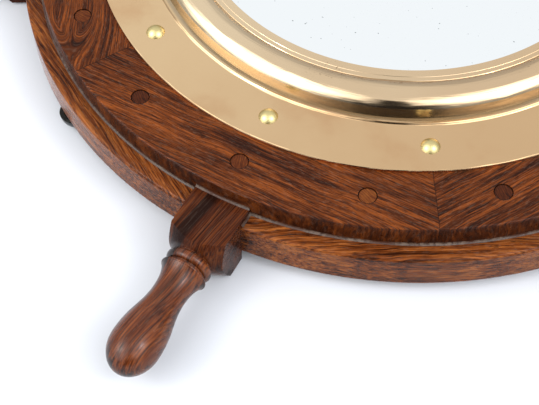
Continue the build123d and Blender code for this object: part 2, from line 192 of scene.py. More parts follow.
# %% Soft masks
def band(tree, value, none_at, full_at, most=1.0, least=0.0):
    """Smooth step of a value: least at none_at, most at full_at."""
    low, high = (none_at, full_at) if none_at < full_at else (full_at, none_at)
    first, last = (least, most) if none_at < full_at else (most, least)
    return add(tree, "MapRange", interpolation_type="SMOOTHSTEP", Value=value,
               From_Min=low, From_Max=high, To_Min=first, To_Max=last)


print("masks ready")

# %% [markdown]
# ## Floor
# The wheel lies on a sheet of pale acrylic that glows a little, which is how a product picture
# gets a white ground with hardly a shadow. A plain white floor under the same lamps would have
# to be overlit, and the wood with it, so a faint emission is added to a pale grey instead.

# %% Glowing floor
SWEEP_HALF = 6.0             # metres from the axis to each edge, past what any view takes in
SWEEP_GAP = 0.2 * MM         # below the feet, so that the two surfaces don't flicker
sweep_mesh = bpy.data.meshes.new("sweep")
corners = [(-1, -1, 0), (1, -1, 0), (1, 1, 0), (-1, 1, 0)]
sweep_mesh.from_pydata([[c * SWEEP_HALF for c in corner] for corner in corners], [], [(0, 1, 2, 3)])
sweep = bpy.data.objects.new("sweep", sweep_mesh)
sweep.location.z = cad_box[0][2] - SWEEP_GAP
bpy.context.collection.objects.link(sweep)
acrylic, _, _ = new_material(
    "backlit_white_acrylic", Base_Color=linear("#CACDD3"), Roughness=0.9, Specular_IOR_Level=0.2,
    Emission_Color=linear("#F2F6FC"), Emission_Strength=0.05)
sweep_mesh.materials.append(acrylic)
print("floor", 2 * SWEEP_HALF, "m wide")

# %% [markdown]
# ## Studio
# Polished brass shows its whole surroundings, so their shape matters as much as their light. Two
# soft boxes stand in front, 60 degrees either side of the camera, and each is a bright lamp in a
# wide glow. The sky is white from half way up and duller low down. A dark figure stands between
# the boxes, behind the camera, and draws the brown band in the ring's bead. Boxes, glow and
# figure are all masks on the direction that a ray leaves in, which is what the world's own
# coordinate gives.

# %% Directions and the figure
LEFT_BOX = (-128, 40)        # azimuth and elevation, degrees
RIGHT_BOX = (-10, 46)
FIGURE_TURN = -5             # degrees from the camera's azimuth
SHOULDERS = (19, 30)         # half width and top, degrees
HEAD = (7, 56)


def direction(azimuth, elevation):
    """Unit vector; azimuth 0 is +X, turning towards +Y, and elevation 90 is straight up."""
    a, e = math.radians(azimuth), math.radians(elevation)
    return Vector((math.cos(a) * math.cos(e), math.sin(a) * math.cos(e), math.sin(e)))


def cosine_of(degrees):
    """Cosine of an angle in degrees, the measure that `towards` gives."""
    return math.cos(math.radians(degrees))


def towards(tree, where, unit):
    """Cosine of the angle between a place on the sky and a direction."""
    return add(tree, "VectorMath", where, unit, operation="DOT_PRODUCT")


def standing_figure(tree, where, azimuth, half_width, top):
    """Mask for an upright dark shape: so many degrees to each side of an azimuth, up to a height.

    The width is the tangent of the turn away from the azimuth, sideways over forwards.
    """
    ahead = towards(tree, where, direction(azimuth, 0))
    sideways = add(tree, "Math", towards(tree, where, direction(azimuth + 90, 0)), operation="ABSOLUTE")
    forwards = add(tree, "Math", ahead, 0.02, operation="MAXIMUM")
    turn = add(tree, "Math", sideways, forwards, operation="DIVIDE")
    edge = math.tan(math.radians(half_width))
    within = add(tree, "Math", band(tree, turn, edge * 1.5, edge * 0.7), band(tree, ahead, 0.0, 0.1),
                 operation="MULTIPLY")
    height = towards(tree, where, direction(0, 90))
    below = band(tree, height, cosine_of(90 - (top + 7)), cosine_of(90 - (top - 5)))
    return add(tree, "Math", within, below, operation="MULTIPLY")


print("boxes at azimuth", LEFT_BOX[0], "and", RIGHT_BOX[0])

# %% Sky
world = bpy.data.worlds.new("studio")
bpy.context.scene.world = world
world.use_nodes = True
sky = world.node_tree
sky.nodes.clear()
where = add(sky, "TexCoord", out="Generated")
figure_azimuth = math.degrees(math.atan2(EYE.y - AIM.y, EYE.x - AIM.x)) + FIGURE_TURN
figure = add(sky, "Math", standing_figure(sky, where, figure_azimuth, *SHOULDERS),
             standing_figure(sky, where, figure_azimuth, *HEAD), operation="MAXIMUM")
high_up = band(sky, towards(sky, where, direction(0, 90)), 0.20, 0.68)
walls = add(sky, "Mix", data_type="RGBA", Factor=high_up, A=linear("#CDCFD1"), B=linear("#FBFDFF"))
seen = add(sky, "Mix", data_type="RGBA", Factor=figure, A=walls, B=linear("#1E1A16"))
plain = add(sky, "Background", Color=seen, Strength=1.0)
left_glow = band(sky, towards(sky, where, direction(*LEFT_BOX)), cosine_of(40), cosine_of(20), most=2.4)
right_glow = band(sky, towards(sky, where, direction(*RIGHT_BOX)), cosine_of(34), cosine_of(16), most=2.4)
glow = add(sky, "Background", Color=linear("#FFFFFF"),
           Strength=add(sky, "Math", left_glow, right_glow, operation="ADD"))
add(sky, "OutputWorld", add(sky, "AddShader", plain, glow))
print("sky with a figure at azimuth", round(figure_azimuth, 1))

# %% Lamps in the soft boxes
BOX_DISTANCE = 1.8           # metres from the wheel's axis
BOX_WIDTH = 0.50
BOX_WATTS = 7


def soft_box(name, azimuth, elevation, tint):
    """Square area light that looks at the middle of the wheel."""
    data = bpy.data.lights.new(name, "AREA")
    data.size = BOX_WIDTH
    data.energy = BOX_WATTS
    data.color = linear(tint)[:3]
    made = bpy.data.objects.new(name, data)
    place = direction(azimuth, elevation)
    made.location = place * BOX_DISTANCE
    made.rotation_euler = (-place).to_track_quat("-Z", "Y").to_euler()
    bpy.context.collection.objects.link(made)


soft_box("left_box", *LEFT_BOX, "#FFFBF4")
soft_box("right_box", *RIGHT_BOX, "#F6F9FF")
print("2 soft boxes of", BOX_WATTS, "W")

# %% [markdown]
# ## Surfaces from arrays
# A turned or swept piece is a grid of points: rows follow its section, columns follow its path.
# Numpy works the whole grid out at once, and the faces are four neighbours each. The signed
# volume tells whether the faces point outwards, and turns them if not.


# %% Faces of a grid
def grid_faces(rows, columns, closed_rows, closed_columns):
    """Quads between neighbours of a grid whose points are numbered row by row."""
    index = np.arange(rows * columns).reshape(rows, columns)
    if closed_rows:
        index = np.vstack([index, index[:1]])
    if closed_columns:
        index = np.hstack([index, index[:, :1]])
    return np.stack([index[:-1, :-1], index[:-1, 1:], index[1:, 1:], index[1:, :-1]],
                    axis=-1).reshape(-1, 4)


def fan_faces(loop, tip):
    """Triangles from a closed loop of point numbers to one tip."""
    return np.stack([loop, np.roll(loop, -1), np.full(len(loop), tip)], axis=-1)


def signed_volume(points, faces):
    """Sum over triangles of a . (b x c) / 6, positive when the faces point outwards."""
    total = 0.0
    for k in range(1, faces.shape[1] - 1):
        a, b, c = points[faces[:, 0]], points[faces[:, k]], points[faces[:, k + 1]]
        total += np.einsum("ij,ij->i", a, np.cross(b, c)).sum() / 6
    return total


print("grid of 3 x 4 points:", len(grid_faces(3, 4, False, False)), "faces")


# %% Mesh pieces and turned shapes
def make_piece(name, points, face_sets, material, sharp_degrees=28.0):
    """Mesh object from points and sets of faces, riding on the wheel, its faces outwards."""
    if sum(signed_volume(points, faces) for faces in face_sets) < 0:
        face_sets = [faces[:, ::-1] for faces in face_sets]
    mesh = bpy.data.meshes.new(name)
    mesh.from_pydata(points.tolist(), [], [face for faces in face_sets for face in faces.tolist()])
    mesh.shade_smooth()
    mesh.set_sharp_from_angle(angle=math.radians(sharp_degrees))
    mesh.materials.append(material)
    piece = bpy.data.objects.new(name, mesh)
    bpy.context.collection.objects.link(piece)
    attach(piece, "wheel")
    print(f"{name}: {len(points)} points")
    return piece


def turned(outline, columns):
    """Revolves rows of (radius, height) about Z: x = r cos t, y = r sin t, z = height."""
    angle = np.linspace(0, 2 * math.pi, columns, endpoint=False)
    r, z = np.asarray(outline, float).T
    return np.stack([np.outer(r, np.cos(angle)), np.outer(r, np.sin(angle)),
                     np.repeat(z[:, None], columns, axis=1)], axis=-1)


def arc(centre, radius, start, end, steps):
    """Points on an arc: centre + radius (cos t, sin t), t in degrees from start to end."""
    t = np.radians(np.linspace(start, end, steps))
    return np.stack([centre[0] + radius * np.cos(t), centre[1] + radius * np.sin(t)], axis=-1)


def ring_of_places(radius, first, count):
    """Points (x, y) evenly spaced on a circle about the wheel's axis."""
    turn = np.radians(first + 360.0 / count * np.arange(count))
    return radius * np.stack([np.cos(turn), np.sin(turn)], axis=-1)


def repeated(outline, columns, places):
    """Turned shells, closed by a point on the axis at each end, one at every (x, y) place."""
    grid = turned(outline, columns).reshape(-1, 3)
    one = np.vstack([grid, [[0, 0, outline[0][1]], [0, 0, outline[-1][1]]]])
    quads = grid_faces(len(outline), columns, False, True)
    last_row = (len(outline) - 1) * columns
    caps = np.vstack([fan_faces(np.arange(columns)[::-1], len(grid)),
                      fan_faces(last_row + np.arange(columns), len(grid) + 1)])
    shift = np.arange(len(places))[:, None, None] * len(one)
    points = one[None] + np.column_stack([places, np.zeros(len(places))])[:, None, :]
    return points.reshape(-1, 3), (quads + shift).reshape(-1, 4), (caps + shift).reshape(-1, 3)


print("mesh helpers ready")

# %% [markdown]
# ## Rosewood
# The wood is Indian rosewood: red-brown heartwood with near-black streaks that run with the
# grain, fine open pores, and a thin satin varnish over all of it. Grain is a solid pattern, so
# the material is worked out in three dimensions and each piece cuts through it as the saw did:
# long lines on the face, stripes across a wall that the grain meets at an angle. Every piece
# gets its own direction and its own place in the plank. A thin varnish over dark wood reflects
# little from above and much at a low angle, so the specular level is low and the IOR ordinary,
# and steep walls have a sheen. Steep walls are also darker, and that is painted shade.


# %% Grain coordinates
def grain_position(tree, grain_degrees, knots):
    """Position along, across and down through the plank, with x along the grain.

    A knot turns the distance y across into y * (1 - 2.2 R^2 / d^2), the lines that a stream
    draws as it parts around a post of radius R, at the distance d from the knot's heart.
    """
    place = add(tree, "TexCoord", out="Object")
    local = add(tree, "Mapping", vector_type="TEXTURE", Vector=place,
                Rotation=(0, 0, math.radians(grain_degrees)))
    along, across, down = add(tree, "SeparateXYZ", local).node.outputs
    for knot_x, knot_y, radius in knots:
        dx = add(tree, "Math", along, knot_x, operation="SUBTRACT")
        dx = add(tree, "Math", dx, 0.45, operation="MULTIPLY")
        dy = add(tree, "Math", across, knot_y, operation="SUBTRACT")
        square = add(tree, "Math", add(tree, "Math", dx, dx, operation="MULTIPLY"),
                     add(tree, "Math", dy, dy, operation="MULTIPLY"), operation="ADD")
        outside = add(tree, "Math", square, radius * radius, operation="MAXIMUM")
        pull = add(tree, "Math", radius * radius * 2.2, outside, operation="DIVIDE")
        shift = add(tree, "Math", dy, pull, operation="MULTIPLY")
        across = add(tree, "Math", across, shift, operation="SUBTRACT")
    return place, along, across, down


def wander(tree, along, across, down, plank, length, width, amount):
    """Bends the grain: adds noise with lumps so long and wide, and so high, to the distance across."""
    lumps = add(tree, "CombineXYZ", add(tree, "Math", along, length, operation="DIVIDE"),
                add(tree, "Math", across, width, operation="DIVIDE"),
                add(tree, "Math", down, 14.0, plank * 1.7, operation="MULTIPLY_ADD"))
    drift = add(tree, "TexNoise", Vector=lumps, Scale=1.0)
    drift = add(tree, "Math", drift, 0.5, operation="SUBTRACT")
    return add(tree, "Math", drift, amount, across, operation="MULTIPLY_ADD")


print("grain coordinates ready")


# %% Marks on the wood
def set_stops(ramp, *stops):
    """Gives a colour ramp three stops, each a position and a hex colour."""
    elements = ramp.node.color_ramp.elements
    elements.new(0.5)
    for element, (position, shade) in zip(elements, stops):
        element.position = position
        element.color = linear(shade)


def glue_lines(tree, colour, place, seams):
    """Dark lines 0.7 mm wide along planes through the axis, each given by its normal."""
    for across_seam in seams:
        gap = add(tree, "VectorMath", place, across_seam, operation="DOT_PRODUCT")
        gap = add(tree, "Math", gap, operation="ABSOLUTE")
        line = band(tree, gap, 0.36 * MM, 0.06 * MM, most=0.7)
        colour = add(tree, "Mix", data_type="RGBA", Factor=line, A=colour, B=linear("#150703"))
    return colour


def rubbed_tip(tree, colour, place, along, tip):
    """Varnish worn through, in patches, over the last 4 mm of a handle."""
    near_tip = band(tree, along, tip - 4 * MM, tip + 3 * MM)
    patches = band(tree, add(tree, "TexNoise", Vector=place, Scale=300.0, Detail=3.0), 0.52, 0.62)
    bare = add(tree, "Math", near_tip, patches, operation="MULTIPLY")
    bare = add(tree, "Math", bare, 0.5, operation="MULTIPLY")
    return add(tree, "Mix", data_type="RGBA", Factor=bare, A=colour, B=linear("#A57850"))


def wall_mask(tree):
    """1 where the surface is steep, 0 where it faces up or down."""
    upright = add(tree, "SeparateXYZ", add(tree, "TexCoord", out="Normal"), out="Z")
    return band(tree, add(tree, "Math", upright, operation="ABSOLUTE"), 0.7, 0.2)


print("marks ready")


# %% Rosewood material
def rosewood(name, grain_degrees, plank, dark="#250D04", middle="#50240A", light="#783C14",
             streak_mm=2.6, vein=0.3, rise=0.1, waves=0.8, reach=1.0, knots=(), seams=(),
             roughness=0.30, sheen=0.5, painted_wall_shade=0.0, handle=None):
    """Varnished rosewood whose grain runs at an angle in plan.

    Its tone is a sum of three noises stretched along the grain: hairlines 0.7 mm apart, streaks,
    and broad figure. Plank is the piece's place in the wood. Vein is how black the streaks get,
    waves how far the grain wanders, and reach how much longer than usual every mark is. Rise is
    how fast the pattern changes down through the piece, against across it. Seams are normals of
    the joints. Sheen and painted_wall_shade act on steep walls only. Handle is where along the spoke
    the block ends and where the tip is: the handle is glossier, and the block duller and darker.
    """
    made, tree, shader = new_material(name, IOR=1.42, Specular_IOR_Level=0.14,
                                      Sheen_Roughness=0.16, Sheen_Tint=linear("#EFE6E8"))
    place, along, across, down = grain_position(tree, grain_degrees, knots)
    across = wander(tree, along, across, down, plank, 110 * MM, 38 * MM, 11.0 * MM * waves)
    across = wander(tree, along, across, down, plank + 4, 24 * MM, 15 * MM, 3.0 * MM * waves)

    def layer(pitch, stretch, seed, detail=2.0):
        """Noise with one lump per pitch across the grain, stretched along it."""
        at = add(tree, "CombineXYZ",
                 add(tree, "Math", along, pitch * stretch * reach, operation="DIVIDE"),
                 add(tree, "Math", across, pitch, operation="DIVIDE"),
                 add(tree, "Math", down, rise / pitch, plank * 3.1 + seed, operation="MULTIPLY_ADD"))
        return add(tree, "TexNoise", Vector=at, Scale=1.0, Detail=detail, Roughness=0.6)

    hairlines = layer(0.7 * MM, 24.0, 0.0)
    streaks = layer(streak_mm * MM, 22.0, 5.0, 3.0)
    figure = layer(15 * MM, 6.0, 11.0)
    tone = add(tree, "Math", figure, 0.24, operation="MULTIPLY")
    tone = add(tree, "Math", streaks, 0.32, tone, operation="MULTIPLY_ADD")
    tone = add(tree, "Math", hairlines, 0.44, tone, operation="MULTIPLY_ADD")
    ramp = add(tree, "ValToRGB", tone)
    set_stops(ramp, (0.41, dark), (0.50, middle), (0.60, light))
    veins = band(tree, layer(streak_mm * 1.1 * MM, 30.0, 17.0, 3.0), 0.51, 0.41, most=vein)
    colour = add(tree, "Mix", data_type="RGBA", Factor=veins, A=ramp, B=linear("#120602"))

    # Open pores are 0.2 mm wide; these are 0.6 mm, the finest that shows across the whole wheel.
    pores = band(tree, layer(0.6 * MM, 9.0, 23.0, 1.0), 0.42, 0.33)
    open_pores = add(tree, "Math", pores, 0.62, operation="MULTIPLY")
    colour = add(tree, "Mix", data_type="RGBA", Factor=open_pores, A=colour, B=linear("#160702"))
    # Fine pale grey specks along the grain, mixed towards #8A7768.
    pale_specks = band(tree, layer(0.5 * MM, 6.0, 29.0, 1.0), 0.52, 0.74, most=0.11)
    colour = add(tree, "Mix", data_type="RGBA", Factor=pale_specks, A=colour, B=linear("#8A7768"))

    wall = wall_mask(tree)
    # Painted shade: steep walls, found from the normal, are darkened towards #1E0A05.
    painted_shade = add(tree, "Math", wall, painted_wall_shade, operation="MULTIPLY")
    colour = add(tree, "Mix", data_type="RGBA", Factor=painted_shade, A=colour, B=linear("#1E0A05"))
    tree.links.new(add(tree, "Math", wall, sheen, operation="MULTIPLY"), shader.inputs["Sheen Weight"])
    colour = glue_lines(tree, colour, place, seams)
    if handle is not None:
        shoulder, tip = handle
        colour = rubbed_tip(tree, colour, place, along, tip)
        block = band(tree, along, shoulder + 1 * MM, shoulder, most=0.45)
        colour = add(tree, "Mix", data_type="RGBA", Factor=block, A=colour, B=linear("#1E0A05"))
        polished = band(tree, along, shoulder, shoulder + 1 * MM, most=0.40, least=0.12)
        tree.links.new(polished, shader.inputs["Specular IOR Level"])

    peel = add(tree, "TexNoise", Vector=place, Scale=420.0)
    gloss = add(tree, "Math", peel, 0.22, roughness - 0.11, operation="MULTIPLY_ADD")
    gloss = add(tree, "Math", pores, 0.15, gloss, operation="MULTIPLY_ADD")
    height = add(tree, "Math", pores, -0.6, operation="MULTIPLY")
    height = add(tree, "Math", hairlines, 0.35, height, operation="MULTIPLY_ADD")
    connect(tree, shader, colour, gloss, height, 0.22, 0.2 * MM)
    return made


print("rosewood ready")

# %% [markdown]
# Each facing segment was sawn with its grain across the spoke, so the lines meet in a V at the
# joints, 30 degrees either way, and one of them has a knot near its end. The felloes are lighter
# and run the same way between two spokes. Each spoke's grain runs nearly its whole length, from
# the slot between the felloes to the handle's tip, a few degrees off as no plank is quite true.

# %% Finish the wooden pieces
HANDLE_LENGTH = 70.4 * MM
SPOKE_TILTS = (-8, 4, -3, 6, -5, 2)      # degrees of the grain from the spoke's own line
KNOTTED_SEGMENT = 6
KNOT = (58 * MM, -181 * MM, 9 * MM)      # along and across the grain from the axis, and radius
# The facings and the spokes get painted shade on their steep walls; the felloes get none.
for number in range(1, SPOKES + 1):
    spoke_direction = FIRST_SPOKE + PITCH * (number - 1)
    joints = [math.radians(spoke_direction + side * PITCH / 2 + 90) for side in (-1, 1)]
    finish_node(f"facing_segment_{number}", rosewood(
        f"varnished_rosewood_facing_{number}", spoke_direction + 90, number,
        knots=[KNOT] if number == KNOTTED_SEGMENT else (), painted_wall_shade=0.5,
        seams=[(math.cos(a), math.sin(a), 0) for a in joints]))
    finish_node(f"felloe_{number}", rosewood(
        f"varnished_rosewood_felloe_{number}", spoke_direction + 120, number + 10,
        dark="#2C1105", middle="#663212", light="#8E5224", rise=0.8, roughness=0.22, sheen=1.0))
    finish_node(f"spoke_handle_{number}", rosewood(
        f"turned_rosewood_spoke_{number}", spoke_direction + SPOKE_TILTS[number - 1], number + 31,
        dark="#331407", middle="#5C2B12", light="#7C421E", streak_mm=5.5, vein=0.95, rise=0.2,
        waves=0.3, reach=2.2, roughness=0.24, painted_wall_shade=0.35,
        handle=(tip_r - HANDLE_LENGTH, tip_r)))
print("rosewood on", 3 * SPOKES, "pieces")

# %% [markdown]
# ## Plugs over the screws
# Each screw in the facing is hidden by a plug cut from scrap, glued in and sanded almost flush.
# A plug has its own colour and its own grain direction, and a dark glue line round it. CAD gives
# plain cylinders, so each is made again as a low dome with an eased edge.

# %% Plug shapes
PLUG_R = 4.75 * MM
PLUG_EASE = 0.45 * MM
PLUGS_PER_SPOKE = 3
PLUG_COUNT = SPOKES * PLUGS_PER_SPOKE
PLUG_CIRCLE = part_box("facing_plugs")[1][1] - PLUG_R
plug_outline = [(0.35 * PLUG_R, plug_top), (0.75 * PLUG_R, plug_top - 0.04 * MM),
                (PLUG_R - PLUG_EASE, plug_top - 0.12 * MM), (PLUG_R, plug_top - PLUG_EASE),
                (PLUG_R, plug_bottom)]
plug_places = ring_of_places(PLUG_CIRCLE, FIRST_SPOKE, PLUG_COUNT)
plug_points, plug_quads, plug_caps = repeated(plug_outline, 40, plug_places)
print(PLUG_COUNT, "plugs on a circle of", round(PLUG_CIRCLE, 4))

# %% [markdown]
# The grain of a plug reads its own UV map, a disc in millimetres turned at random, because a
# pattern on Object coordinates would run the same way through all of them. A tone attribute,
# one number for each plug, makes some darker. Both are filled as whole arrays.

# %% Plug finish
end_grain, tree, shader = new_material("sanded_rosewood_plug", IOR=1.42, Specular_IOR_Level=0.14)
disc_place = add(tree, "UVMap", uv_map="disc")
stretched = add(tree, "Mapping", Vector=disc_place, Scale=(0.16, 1.5, 1.0))
lines = add(tree, "TexNoise", Vector=stretched, Scale=1.0, Detail=3.0, Roughness=0.6)
tone = add(tree, "Attribute", attribute_name="tone", out="Fac")
ramp = add(tree, "ValToRGB", add(tree, "Math", tone, 0.55, lines, operation="MULTIPLY_ADD"))
set_stops(ramp, (0.42, "#1E0A04"), (0.72, "#4C220C"), (1.0, "#7A451C"))
from_middle = add(tree, "VectorMath", disc_place, operation="LENGTH")
glue = band(tree, from_middle, PLUG_R / MM - 0.75, PLUG_R / MM - 0.35, most=0.8)
colour = add(tree, "Mix", data_type="RGBA", Factor=glue, A=ramp, B=linear("#140603"))
pitted = add(tree, "TexNoise", Vector=disc_place, Scale=2.2)
gloss = add(tree, "Math", pitted, 0.2, 0.24, operation="MULTIPLY_ADD")
connect(tree, shader, colour, gloss, pitted, 0.25, 0.2 * MM)
print("plug finish:", len(tree.nodes), "nodes")

# %% Plug pieces
plugs = make_piece("sanded_plugs", plug_points, [plug_quads, plug_caps], end_grain)
per_plug = len(plug_points) // PLUG_COUNT
random = np.random.default_rng(7)
turn = np.repeat(random.uniform(0, math.pi, PLUG_COUNT), per_plug)
local = (plug_points[:, :2] - np.repeat(plug_places, per_plug, axis=0)) / MM
disc = np.stack([local[:, 0] * np.cos(turn) + local[:, 1] * np.sin(turn),
                 local[:, 1] * np.cos(turn) - local[:, 0] * np.sin(turn)], axis=-1)
corner_points = np.zeros(len(plugs.data.loops), dtype=np.int32)
plugs.data.loops.foreach_get("vertex_index", corner_points)
disc_map = plugs.data.uv_layers.new(name="disc")
disc_map.uv.foreach_set("vector", disc[corner_points].astype(np.float32).ravel())
plug_tone = np.repeat(random.uniform(0.0, 0.6, PLUG_COUNT), per_plug).astype(np.float32)
plugs.data.attributes.new("tone", "FLOAT", "POINT").data.foreach_set("value", plug_tone)
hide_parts("facing_plugs")

# %% [markdown]
# ## Brass
# The porthole ring is a yellow-brass casting, turned on a lathe and buffed to a mirror. Its
# reflections are only as smooth as its surface, so the section is carried round in fine steps
# instead of using the CAD facets. From the glass outwards it has a lip, a lower band, a bead, a
# small step, a cove and a flat flange. The bead is hollow underneath, as castings are.

# %% Section of the porthole ring
LIP = 4.4 * MM               # flat round the glass
BAND = 2.6 * MM              # second flat, with a fine groove between the two
BEAD_IN = 8.5 * MM           # from the band's edge out to the bead's crest
BEAD_R = 9.7 * MM
BEAD_TURN = 58.0             # arc of the bead outwards from its crest, degrees, above a straight wall
STEP = 3.4 * MM              # flat at the bead's foot
COVE = 2.8 * MM
FLANGE = 24.6 * MM           # the flat that the pins go through
LIP_HEIGHT = 10.0 * MM       # these three above the facing
STEP_HEIGHT = 3.2 * MM
FLANGE_THICK = 2.0 * MM
WALL = 3.0 * MM              # metal over the hollow
GROOVE = 0.1 * MM
EASE = 0.5 * MM
FLANGE_SLOPE = 0.6 * MM      # where the buff has rounded the flange's edge


def ring_section():
    """Lip, band, bead, step, cove and flange as (radius, height), then the hollow underneath.

    The bead rises from the band on one arc, tangent to the level at the crest, and falls on
    another of BEAD_R. The cove is a quarter of an ellipse.
    """
    opening = ring_r - (LIP + BAND + BEAD_IN + BEAD_R + STEP + COVE + FLANGE)
    band_r = opening + LIP
    foot_r = band_r + BAND
    crest_r = foot_r + BEAD_IN
    out_r = crest_r + BEAD_R
    step_z, flange_z = face_z + STEP_HEIGHT, face_z + FLANGE_THICK
    lip_z = face_z + LIP_HEIGHT
    crest_z = step_z + BEAD_R
    run, rise = crest_r - foot_r - GROOVE, crest_z - lip_z
    inner_r = (run ** 2 + rise ** 2) / (2 * rise)
    inner_turn = 2 * math.degrees(math.atan2(rise, run))
    cove_r = (step_z - flange_z) * 2 / 3
    cove = arc((0, 0), 1.0, 180, 270, 9) * [COVE, cove_r] + [out_r + STEP + COVE, flange_z + cove_r]
    rows = [[(opening, lip_z - WALL), (opening, lip_z - GROOVE), (opening + GROOVE, lip_z),
             (band_r - GROOVE, lip_z), (band_r, lip_z - GROOVE), (band_r + GROOVE, lip_z),
             (foot_r - GROOVE, lip_z), (foot_r, lip_z - GROOVE)],
            arc((crest_r, crest_z - inner_r), inner_r, 90 + inner_turn, 90, 12)[:-1],
            arc((crest_r, crest_z - BEAD_R), BEAD_R, 90, 90 - BEAD_TURN, 25),
            [(out_r, step_z), (out_r + STEP - EASE, step_z), (out_r + STEP, step_z - EASE)],
            cove,
            [(ring_r - FLANGE_SLOPE, flange_z), (ring_r - EASE / 3, flange_z - EASE / 3),
             (ring_r, flange_z - EASE), (ring_r, face_z), (out_r - WALL, face_z)],
            arc((crest_r, step_z), BEAD_R - WALL, 0, 90, 12),
            [(foot_r + WALL / 2, lip_z - WALL)]]
    return np.vstack([np.asarray(part, float) for part in rows]), crest_r


section, crest_r = ring_section()
corner_r = crest_r + BEAD_R
print("porthole ring section:", len(section), "points")

# %% [markdown]
# The lathe leaves faint rings and the buff long soft ripples, which break the reflections up.
# Buffing compound stays in the corner at the bead's foot and dulls it, and that corner is also
# painted greyer and darker, as painted shade. The bead and all inside it are painted paler, a
# painted highlight, lacquer has gone pinkish in patches, the side towards +x is painted darker
# as painted shade, and the casting has small pits by the lip. All of these go by the distance
# from the axis, so they are worked out from x and y. Plain turned or drawn brass needs only the
# patches and a little haze.


# %% Brass materials
def casting_marks(tree, place, clouds, tint, height):
    """Colour and height of the turned casting, and the mask of its corner: compound left there, and painted
    shade.
    """
    x, y, _ = add(tree, "SeparateXYZ", place).node.outputs
    radius = add(tree, "Math", x, x, add(tree, "Math", y, y, operation="MULTIPLY"), operation="MULTIPLY_ADD")
    radius = add(tree, "Math", radius, operation="SQRT")
    off_corner = add(tree, "Math", radius, corner_r, operation="SUBTRACT")
    off_corner = add(tree, "Math", off_corner, operation="ABSOLUTE")
    # Compound left in the corner at the bead's foot dulls it; its colour there is made greyer and darker, as
    # painted shade.
    compound_and_corner_shade = band(tree, off_corner, 3.0 * MM, 1.0 * MM)
    # Painted highlight: the bead and everything inside it are painted paler.
    painted_bead_highlight = band(tree, radius, corner_r + 1 * MM, corner_r - 2 * MM)
    # Painted shade: the side towards +x is painted darker, with cloudy edges.
    side = add(tree, "Math", clouds, 0.15, x, operation="MULTIPLY_ADD")
    painted_side_shade = band(tree, side, -0.10, 0.20, most=0.45)
    near_lip = band(tree, radius, ring_r - 36 * MM, ring_r - 44 * MM)
    pits = band(tree, add(tree, "TexNoise", Vector=place, Scale=1100.0, Detail=1.0), 0.66, 0.76)
    pits = add(tree, "Math", pits, near_lip, operation="MULTIPLY")
    pits = add(tree, "Math", pits, band(tree, clouds, 0.50, 0.60), operation="MULTIPLY")
    # In order: painted highlight, painted side shade, compound with painted corner shade, and the casting's
    # pits.
    for mask, share, shade in ((painted_bead_highlight, None, "#E9D3B0"), (painted_side_shade, None, "#B98E63"),
                               (compound_and_corner_shade, 0.7, "#A3967F"), (pits, 0.7, "#5A3E22")):
        if share is not None:
            mask = add(tree, "Math", mask, share, operation="MULTIPLY")
        tint = add(tree, "Mix", data_type="RGBA", Factor=mask, A=tint, B=linear(shade))
    rings = add(tree, "CombineXYZ", add(tree, "Math", radius, 1500.0, operation="MULTIPLY"))
    ripples = add(tree, "CombineXYZ", add(tree, "Math", radius, 260.0, operation="MULTIPLY"),
                  add(tree, "Math", x, 22.0, operation="MULTIPLY"),
                  add(tree, "Math", y, 22.0, operation="MULTIPLY"))
    rings = add(tree, "TexNoise", Vector=rings, Scale=1.0)
    ripples = add(tree, "TexNoise", Vector=ripples, Scale=1.0, Detail=3.0)
    height = add(tree, "Math", rings, 0.5, height, operation="MULTIPLY_ADD")
    height = add(tree, "Math", ripples, 170.0, height, operation="MULTIPLY_ADD")
    return tint, add(tree, "Math", height, pits, operation="SUBTRACT"), compound_and_corner_shade


def polished_brass(name, colour, roughness, marks):
    """Buffed brass, its haze and tarnish in patches. Marks adds those of the turned casting."""
    made, tree, shader = new_material(name, Metallic=1.0)
    place = add(tree, "TexCoord", out="Object")
    clouds = add(tree, "TexNoise", Vector=place, Scale=26.0, Detail=4.0)
    tarnish = band(tree, clouds, 0.50, 0.72, most=0.45)
    tint = add(tree, "Mix", data_type="RGBA", Factor=tarnish, A=linear(colour), B=linear("#C79468"))
    height = add(tree, "Math", add(tree, "TexNoise", Vector=place, Scale=700.0), 0.15, operation="MULTIPLY")
    gloss = add(tree, "Math", clouds, roughness * 0.8, roughness * 0.6, operation="MULTIPLY_ADD")
    if marks:
        tint, height, compound_and_corner_shade = casting_marks(tree, place, clouds, tint, height)
        gloss = add(tree, "Math", compound_and_corner_shade, 0.08, gloss, operation="MULTIPLY_ADD")
    connect(tree, shader, tint, gloss, height, 0.05, 0.1 * MM)
    return made


cast_brass = polished_brass("buffed_cast_brass", "#E2C398", 0.13, True)
pin_brass = polished_brass("drawn_yellow_brass", "#D0C08A", 0.42, False)
finish_node("retaining_ring", polished_brass("turned_brass", "#D9B981", 0.3, True))
finish_node("retaining_screws", polished_brass("turned_screw_brass", "#D6BC7C", 0.3, False))
print("4 brasses")

# %% [markdown]
# The ring is 600 columns round, so that a reflection bends without corners. Under the bead hang
# six bosses that take the retaining screws. They are part of the same casting, so they go into
# the same mesh, with their faces numbered after the ring's.

# %% Porthole ring with its bosses
RING_COLUMNS = 600
BOSS_R = 4.2 * MM
ring_points = turned(section, RING_COLUMNS).reshape(-1, 3)
ring_quads = grid_faces(len(section), RING_COLUMNS, True, True)
boss_outline = [(BOSS_R, ring_top - WALL / 2), (BOSS_R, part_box("mirror_glass")[0][2])]
boss_points, boss_quads, boss_caps = repeated(
    boss_outline, 32, ring_of_places(crest_r, FIRST_SPOKE + PITCH / 2, SPOKES))
start = len(ring_points)
porthole = make_piece("buffed_porthole_ring", np.vstack([ring_points, boss_points]),
                      [ring_quads, boss_quads + start, boss_caps + start], cast_brass,
                      sharp_degrees=14)
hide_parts("porthole_ring")

# %% [markdown]
# The pins are drawn brass, yellower than the casting, with heads that are a slice of a ball.
# A ball of radius R cut h below its top is r wide there, and R = (r^2 + h^2) / 2h.

